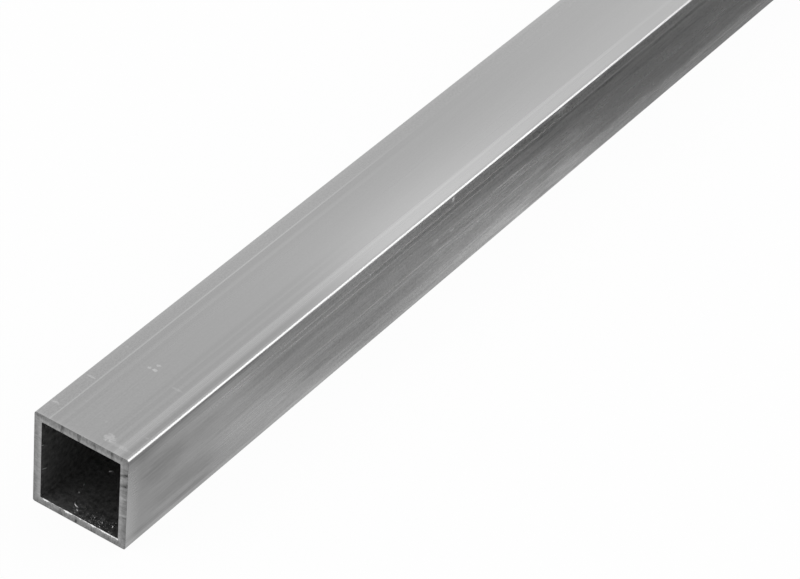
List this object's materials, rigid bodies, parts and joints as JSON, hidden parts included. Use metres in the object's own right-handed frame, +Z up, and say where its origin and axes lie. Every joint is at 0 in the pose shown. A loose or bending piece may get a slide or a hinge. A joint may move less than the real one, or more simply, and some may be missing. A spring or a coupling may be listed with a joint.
{
  "type": "square metal tube",
  "caption": "Straight length of square aluminium tube with even flat walls, sharp outside corners, an open square hollow and two square-sawn ends.",
  "frame": {"origin": "centre of the flat face that the tube rests on", "axes": "+X along the tube, from the sawn end that the picture shows towards the end that the picture cuts off; +Z up, out of the top wall; +Y towards the left wall as the picture shows it"},
  "size_m": [0.3, 0.025, 0.025],
  "materials": {
    "mill_aluminium": "bare mill finish with fine lengthwise die lines, sawn ends"
  },
  "bodies": {
    "root": {"square_tube": "mill_aluminium"}
  },
  "joints": []
}
